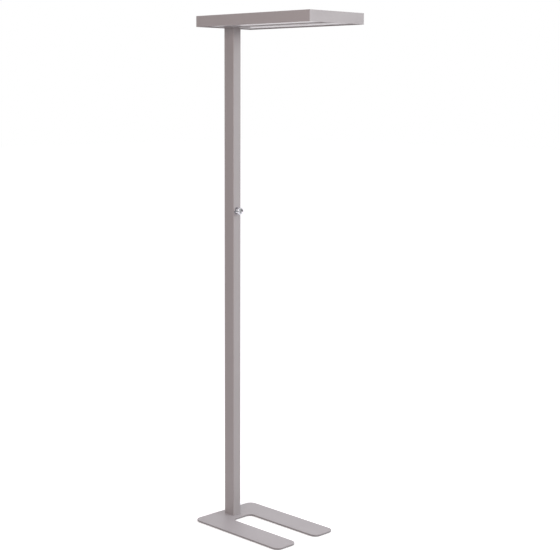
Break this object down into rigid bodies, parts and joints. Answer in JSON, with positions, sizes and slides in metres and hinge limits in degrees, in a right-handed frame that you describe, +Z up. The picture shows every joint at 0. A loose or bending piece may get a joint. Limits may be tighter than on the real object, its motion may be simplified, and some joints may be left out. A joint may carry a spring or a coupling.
{
  "type": "floor lamp",
  "caption": "Office floor lamp: flat rectangular head with light fields below and above, rectangular mast with a push-and-turn dimmer, U-shaped plate base.",
  "frame": {"origin": "on the mast's axis at floor level, on the underlay's lower face", "axes": "+Z up along the mast, -Y to the front, where the head and the base's arms reach, +X to the right seen from the front"},
  "size_m": [0.306, 0.592, 1.95],
  "materials": {
    "underlay": "dark rubber sheet, fine pebbled",
    "base_paint": "satin silver-grey powder coat on steel",
    "mast_paint": "satin silver-grey powder coat on aluminium",
    "head_paint": "satin silver-grey powder coat on aluminium",
    "screw_steel": "zinc-plated steel",
    "block_alu": "milled aluminium",
    "gland_black": "black polyamide",
    "dimmer_chrome": "bright chrome",
    "dimmer_brass": "turned brass",
    "dimmer_black": "black moulded plastic",
    "cable_grey": "grey cable sheath",
    "diffuser_opal": "opal diffuser sheet, satin",
    "cover_opal": "opal cover sheet, satin",
    "reflector_white": "white coated sheet",
    "board_white": "white solder mask",
    "led_yellow": "yellow phosphor",
    "driver_white": "white plastic"
  },
  "bodies": {
    "lamp": {"base_mat": "underlay", "base_plate": "base_paint", "base_screws": "screw_steel", "mast_foot_block": "block_alu", "mast_foot_screws": "screw_steel", "mast_tube": "mast_paint", "cord_gland": "gland_black", "gland_nut": "gland_black", "mast_top_block": "block_alu", "mast_top_screws": "screw_steel", "neck_plate": "mast_paint", "neck_screws": "screw_steel", "dimmer_ring": "dimmer_chrome", "dimmer_nut": "screw_steel", "dimmer_bushing": "dimmer_brass", "dimmer_housing": "dimmer_black", "dimmer_terminals": "dimmer_brass", "control_cable": "cable_grey", "rail_left": "head_paint", "rail_right": "head_paint", "rail_front": "head_paint", "rail_back": "head_paint", "corner_brackets": "screw_steel", "spine_channel": "head_paint", "spine_brackets": "screw_steel", "spine_lid": "head_paint", "diffuser_left": "diffuser_opal", "diffuser_right": "diffuser_opal", "reflector_left": "reflector_white", "reflector_right": "reflector_white", "led_boards_down": "board_white", "leds_down": "led_yellow", "led_boards_up": "board_white", "leds_up": "led_yellow", "upper_cover_left": "cover_opal", "upper_cover_right": "cover_opal", "led_driver": "driver_white", "terminal_block": "driver_white", "driver_leads": "driver_white"},
    "rotor": {"dimmer_rotor": "dimmer_brass", "dimmer_rotor_cap": "dimmer_black", "dimmer_spring": "screw_steel"},
    "knob": {"dimmer_shaft": "screw_steel", "dimmer_knob": "dimmer_chrome"}
  },
  "joints": [
    {"name": "dimmer_turn", "type": "hinge", "parent": "lamp", "child": "rotor", "pos_m": [0, -0.026, 1.22], "axis": [0, -1, 0], "range_deg": [-135, 135]},
    {"name": "dimmer_press", "type": "slide", "parent": "rotor", "child": "knob", "axis": [0, 1, 0], "range_m": [0, 0.002], "stiffness_N_per_m": 400, "springref_m": -0.004, "deforming": ["dimmer_spring"]}
  ]
}
